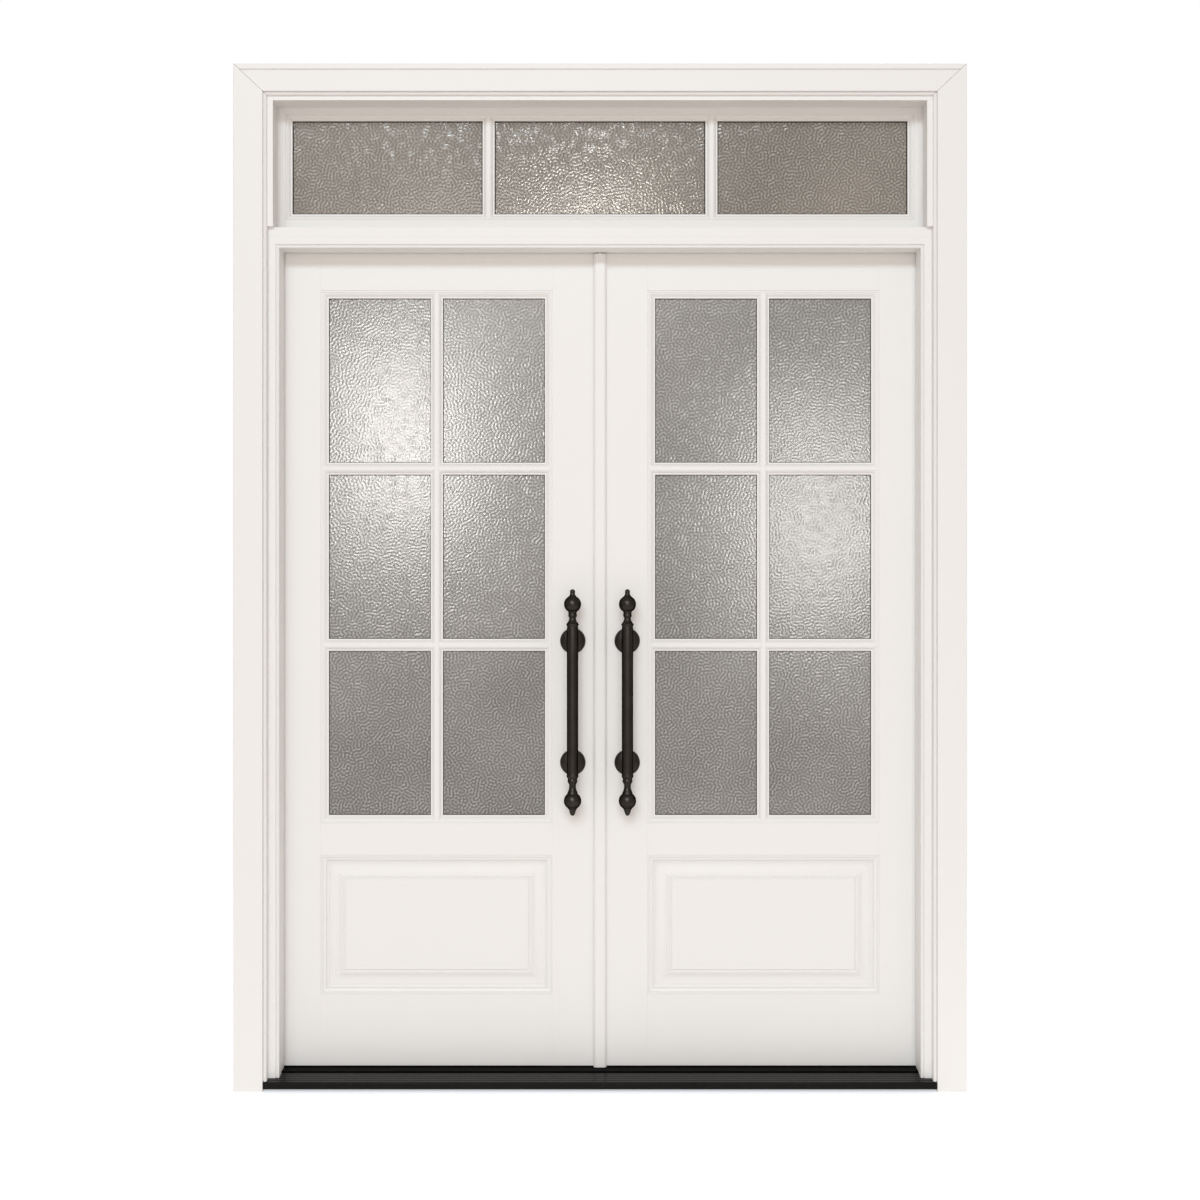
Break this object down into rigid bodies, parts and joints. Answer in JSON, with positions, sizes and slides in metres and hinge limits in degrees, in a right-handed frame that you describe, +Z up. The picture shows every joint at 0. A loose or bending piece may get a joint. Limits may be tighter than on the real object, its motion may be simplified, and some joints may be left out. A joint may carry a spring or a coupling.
{
  "type": "french doors",
  "caption": "Pair of inward opening glazed doors with a divided transom, moulded panels, bar pulls, cased frame and sloping sill.",
  "frame": {"origin": "middle of the doorway, on the wall's outer face at the jambs' front edges, at the underside of the sill", "axes": "+X along the wall to the right seen from outside, +Y inward through the wall, +Z up"},
  "size_m": [1.785, 0.158, 2.502],
  "materials": {
    "paint": "satin warm white paint on wood",
    "privacy_glass": "clear glass with a wormy obscure relief",
    "black_metal": "satin black",
    "dark_bronze": "dark bronze, satin",
    "seal": "soft, matt",
    "hinge_steel": "satin",
    "sill_core": "composite"
  },
  "bodies": {
    "frame": {"casing_left": "paint", "casing_right": "paint", "casing_head": "paint", "jamb_left": "paint", "jamb_right": "paint", "jamb_head": "paint", "transom_bar": "paint", "door_stop_left": "paint", "door_stop_right": "paint", "door_stop_head": "paint", "weatherstrips": "seal", "sill_deck": "dark_bronze", "sill_core": "sill_core", "threshold_cap": "dark_bronze", "transom_stile_left": "paint", "transom_stile_right": "paint", "transom_rail_top": "paint", "transom_rail_bottom": "paint", "transom_bars": "paint", "transom_panes": "privacy_glass", "transom_beads": "paint", "left_jamb_hinges": "hinge_steel", "right_jamb_hinges": "hinge_steel", "left_hinge_pins": "hinge_steel", "right_hinge_pins": "hinge_steel"},
    "left_leaf": {"left_hinge_stile": "paint", "left_meeting_stile": "paint", "left_top_rail": "paint", "left_lock_rail": "paint", "left_bottom_rail": "paint", "left_panel": "paint", "left_upright_bar": "paint", "left_cross_bars": "paint", "left_panes": "privacy_glass", "left_beads": "paint", "left_door_hinges": "hinge_steel", "left_pull": "black_metal", "left_pull_posts": "black_metal", "left_pull_bolts": "black_metal", "left_sweep": "seal"},
    "right_leaf": {"right_hinge_stile": "paint", "right_meeting_stile": "paint", "right_top_rail": "paint", "right_lock_rail": "paint", "right_bottom_rail": "paint", "right_panel": "paint", "right_upright_bar": "paint", "right_cross_bars": "paint", "right_panes": "privacy_glass", "right_beads": "paint", "right_door_hinges": "hinge_steel", "right_pull": "black_metal", "right_pull_posts": "black_metal", "right_pull_bolts": "black_metal", "right_sweep": "seal", "astragal": "paint", "astragal_seal": "seal", "flush_bolt_plates": "hinge_steel"},
    "flush_bolt_top": {"flush_bolt_top": "hinge_steel"},
    "flush_bolt_bottom": {"flush_bolt_bottom": "hinge_steel"}
  },
  "joints": [
    {"name": "left_leaf_hinge", "type": "hinge", "parent": "frame", "child": "left_leaf", "pos_m": [-0.799, 0.1235, 1.0485], "axis": [0, 0, 1], "range_deg": [0, 105]},
    {"name": "right_leaf_hinge", "type": "hinge", "parent": "frame", "child": "right_leaf", "pos_m": [0.799, 0.1235, 1.0485], "axis": [0, 0, -1], "range_deg": [0, 105]},
    {"name": "top_bolt_slide", "type": "slide", "parent": "right_leaf", "child": "flush_bolt_top", "axis": [0, 0, 1], "range_m": [0, 0.016]},
    {"name": "bottom_bolt_slide", "type": "slide", "parent": "right_leaf", "child": "flush_bolt_bottom", "axis": [0, 0, -1], "range_m": [0, 0.016]}
  ]
}
